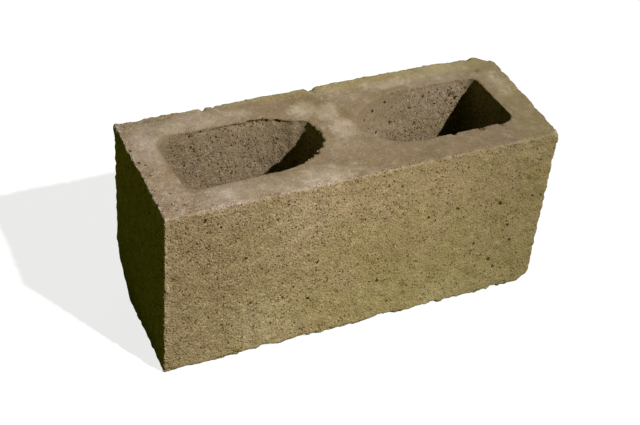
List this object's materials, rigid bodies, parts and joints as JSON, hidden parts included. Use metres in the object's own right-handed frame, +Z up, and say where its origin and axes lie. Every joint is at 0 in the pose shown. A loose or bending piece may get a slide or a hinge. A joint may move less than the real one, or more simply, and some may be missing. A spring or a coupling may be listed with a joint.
{
  "type": "concrete block",
  "caption": "Hollow concrete masonry block with plain ends, tapered through cores that narrow towards the middle web, worn edges and knocked corners.",
  "frame": {"origin": "middle of the lower bed, under the centre web", "axes": "+X along the length, +Y across the width from one face shell to the other, +Z up, from the lower bed to the upper bed"},
  "size_m": [0.397, 0.143, 0.194],
  "materials": {
    "cast_concrete": "matte"
  },
  "bodies": {
    "root": {"concrete_block": "cast_concrete"}
  },
  "joints": []
}
